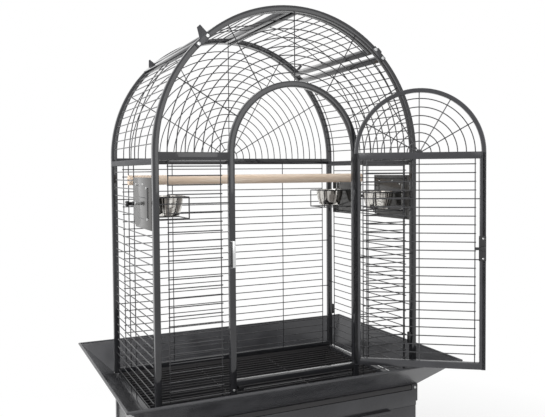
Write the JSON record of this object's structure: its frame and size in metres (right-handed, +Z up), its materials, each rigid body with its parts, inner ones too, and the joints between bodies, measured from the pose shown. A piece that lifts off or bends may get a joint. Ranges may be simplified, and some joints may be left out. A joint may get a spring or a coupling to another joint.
{
  "type": "parrot cage",
  "caption": "Dome-top wire parrot cage on a wheeled stand, with an arched front door, opening roof flaps, swing-out feeders and a slide-out grate and tray.",
  "frame": {"origin": "on the floor, under the middle of the bounding box with the front door open as stored", "axes": "+Z up, -Y is the front of the cage with the door, +X is the right-hand side seen from the front"},
  "size_m": [1.1188, 0.9553, 1.7001],
  "materials": {
    "charcoal_paint": "satin charcoal powder coat on square steel tube and sheet",
    "charcoal_wire": "satin charcoal powder coat on welded round wire",
    "grey_plate": "light grey coat on thin sheet steel, slightly glossy",
    "polished_steel": "polished stainless steel",
    "zinc_bolt": "bright zinc-plated steel",
    "pale_wood": "smooth bare pale hardwood dowel",
    "black_plastic": "black moulded plastic, slightly satin",
    "grey_rubber": "dark grey rubber tyre"
  },
  "bodies": {
    "cage": {"front_frame": "charcoal_paint", "back_frame": "charcoal_paint", "side_rail_left": "charcoal_paint", "side_rail_right": "charcoal_paint", "roof_edge_left": "charcoal_paint", "roof_edge_right": "charcoal_paint", "flap_hinge_front_left": "charcoal_paint", "flap_hinge_front_right": "charcoal_paint", "flap_hinge_back_left": "charcoal_paint", "flap_hinge_back_right": "charcoal_paint", "skirt_front": "charcoal_paint", "skirt_right": "charcoal_paint", "skirt_back": "charcoal_paint", "skirt_left": "charcoal_paint", "base": "charcoal_paint", "stand_frame": "charcoal_paint", "stand_shelf": "charcoal_paint", "front_grille_left": "charcoal_wire", "front_grille_right": "charcoal_wire", "front_fan": "charcoal_wire", "back_grille": "charcoal_wire", "back_fan": "charcoal_wire", "side_grille_left": "charcoal_wire", "side_grille_right": "charcoal_wire", "roof_grille_left": "charcoal_wire", "roof_grille_right": "charcoal_wire", "door_keeper": "zinc_bolt", "perch": "pale_wood", "clip_back": "black_plastic", "clip_front": "black_plastic"},
    "door": {"door_frame": "charcoal_paint", "door_grille": "charcoal_wire", "door_fan": "charcoal_wire", "door_lock": "zinc_bolt"},
    "latch": {"door_latch": "zinc_bolt"},
    "roof_flap_left": {"flap_frame_left": "charcoal_paint", "flap_grille_left": "charcoal_wire"},
    "roof_flap_right": {"flap_frame_right": "charcoal_paint", "flap_grille_right": "charcoal_wire"},
    "feeder_left": {"feeder_door_left": "grey_plate"},
    "feeder_bowl_left": {"bowl_left": "polished_steel"},
    "knob_left": {"feeder_knob_left": "black_plastic"},
    "feeder_right_front": {"feeder_door_right_front": "grey_plate"},
    "feeder_bowl_right_front": {"bowl_right_front": "polished_steel"},
    "knob_right_front": {"feeder_knob_right_front": "black_plastic"},
    "feeder_right_back": {"feeder_door_right_back": "grey_plate"},
    "feeder_bowl_right_back": {"bowl_right_back": "polished_steel"},
    "knob_right_back": {"feeder_knob_right_back": "black_plastic"},
    "sliding_grate": {"grate": "charcoal_wire"},
    "sliding_tray": {"tray": "charcoal_paint"},
    "castor_front_left": {"castor_fork_front_left": "black_plastic"},
    "wheel_front_left": {"castor_wheel_front_left": "grey_rubber"},
    "castor_front_right": {"castor_fork_front_right": "black_plastic"},
    "wheel_front_right": {"castor_wheel_front_right": "grey_rubber"},
    "castor_back_left": {"castor_fork_back_left": "black_plastic"},
    "wheel_back_left": {"castor_wheel_back_left": "grey_rubber"},
    "castor_back_right": {"castor_fork_back_right": "black_plastic"},
    "wheel_back_right": {"castor_wheel_back_right": "grey_rubber"}
  },
  "joints": [
    {"name": "door_hinge", "type": "hinge", "parent": "cage", "child": "door", "pos_m": [0.2034, -0.2193, 0.95], "axis": [0, 0, 1], "range_deg": [-144.8, 25]},
    {"name": "latch_turn", "type": "hinge", "parent": "door", "child": "latch", "pos_m": [0.51013, -0.47068, 0.952], "axis": [-0.5764, -0.8171, 0], "range_deg": [0, 180]},
    {"name": "roof_flap_left_hinge", "type": "hinge", "parent": "cage", "child": "roof_flap_left", "pos_m": [-0.2868, 0.0772, 1.5855], "axis": [0, -1, 0], "range_deg": [0, 105]},
    {"name": "roof_flap_right_hinge", "type": "hinge", "parent": "cage", "child": "roof_flap_right", "pos_m": [0.2868, 0.0772, 1.5855], "axis": [0, 1, 0], "range_deg": [0, 105]},
    {"name": "feeder_left_hinge", "type": "hinge", "parent": "cage", "child": "feeder_left", "pos_m": [-0.45, -0.1788, 1.1195], "axis": [0, 0, 1], "range_deg": [0, 95]},
    {"name": "bowl_left_lift", "type": "slide", "parent": "feeder_left", "child": "feeder_bowl_left", "axis": [0, 0, 1], "range_m": [0, 0.08]},
    {"name": "knob_left_turn", "type": "hinge", "parent": "feeder_left", "child": "knob_left", "pos_m": [-0.449, 0.0072, 1.098], "axis": [1, 0, 0], "range_deg": [-90, 90]},
    {"name": "feeder_right_front_hinge", "type": "hinge", "parent": "cage", "child": "feeder_right_front", "pos_m": [0.45, -0.1788, 1.1195], "axis": [0, 0, -1], "range_deg": [0, 95]},
    {"name": "bowl_right_front_lift", "type": "slide", "parent": "feeder_right_front", "child": "feeder_bowl_right_front", "axis": [0, 0, 1], "range_m": [0, 0.08]},
    {"name": "knob_right_front_turn", "type": "hinge", "parent": "feeder_right_front", "child": "knob_right_front", "pos_m": [0.449, 0.0072, 1.098], "axis": [1, 0, 0], "range_deg": [-90, 90]},
    {"name": "feeder_right_back_hinge", "type": "hinge", "parent": "cage", "child": "feeder_right_back", "pos_m": [0.45, 0.3332, 1.1195], "axis": [0, 0, 1], "range_deg": [0, 95]},
    {"name": "bowl_right_back_lift", "type": "slide", "parent": "feeder_right_back", "child": "feeder_bowl_right_back", "axis": [0, 0, 1], "range_m": [0, 0.08]},
    {"name": "knob_right_back_turn", "type": "hinge", "parent": "feeder_right_back", "child": "knob_right_back", "pos_m": [0.449, 0.1472, 1.098], "axis": [1, 0, 0], "range_deg": [-90, 90]},
    {"name": "grate_slide", "type": "slide", "parent": "cage", "child": "sliding_grate", "axis": [0, -1, 0], "range_m": [0, 0.45]},
    {"name": "tray_slide", "type": "slide", "parent": "cage", "child": "sliding_tray", "axis": [0, -1, 0], "range_m": [0, 0.45]},
    {"name": "castor_front_left_swivel", "type": "hinge", "parent": "cage", "child": "castor_front_left", "pos_m": [-0.4355, -0.2028, 0.0852], "axis": [0, 0, 1], "continuous": true},
    {"name": "wheel_front_left_spin", "type": "hinge", "parent": "castor_front_left", "child": "wheel_front_left", "pos_m": [-0.41483, -0.19528, 0.0321], "axis": [-0.342, 0.9397, 0], "continuous": true},
    {"name": "castor_front_right_swivel", "type": "hinge", "parent": "cage", "child": "castor_front_right", "pos_m": [0.4355, -0.2028, 0.0852], "axis": [0, 0, 1], "continuous": true},
    {"name": "wheel_front_right_spin", "type": "hinge", "parent": "castor_front_right", "child": "wheel_front_right", "pos_m": [0.41483, -0.19528, 0.0321], "axis": [-0.342, -0.9397, 0], "continuous": true},
    {"name": "castor_back_left_swivel", "type": "hinge", "parent": "cage", "child": "castor_back_left", "pos_m": [-0.4355, 0.3572, 0.0852], "axis": [0, 0, 1], "continuous": true},
    {"name": "wheel_back_left_spin", "type": "hinge", "parent": "castor_back_left", "child": "wheel_back_left", "pos_m": [-0.41748, 0.34458, 0.0321], "axis": [0.5736, 0.8192, 0], "continuous": true},
    {"name": "castor_back_right_swivel", "type": "hinge", "parent": "cage", "child": "castor_back_right", "pos_m": [0.4355, 0.3572, 0.0852], "axis": [0, 0, 1], "continuous": true},
    {"name": "wheel_back_right_spin", "type": "hinge", "parent": "castor_back_right", "child": "wheel_back_right", "pos_m": [0.41483, 0.34968, 0.0321], "axis": [0.342, -0.9397, 0], "continuous": true}
  ]
}
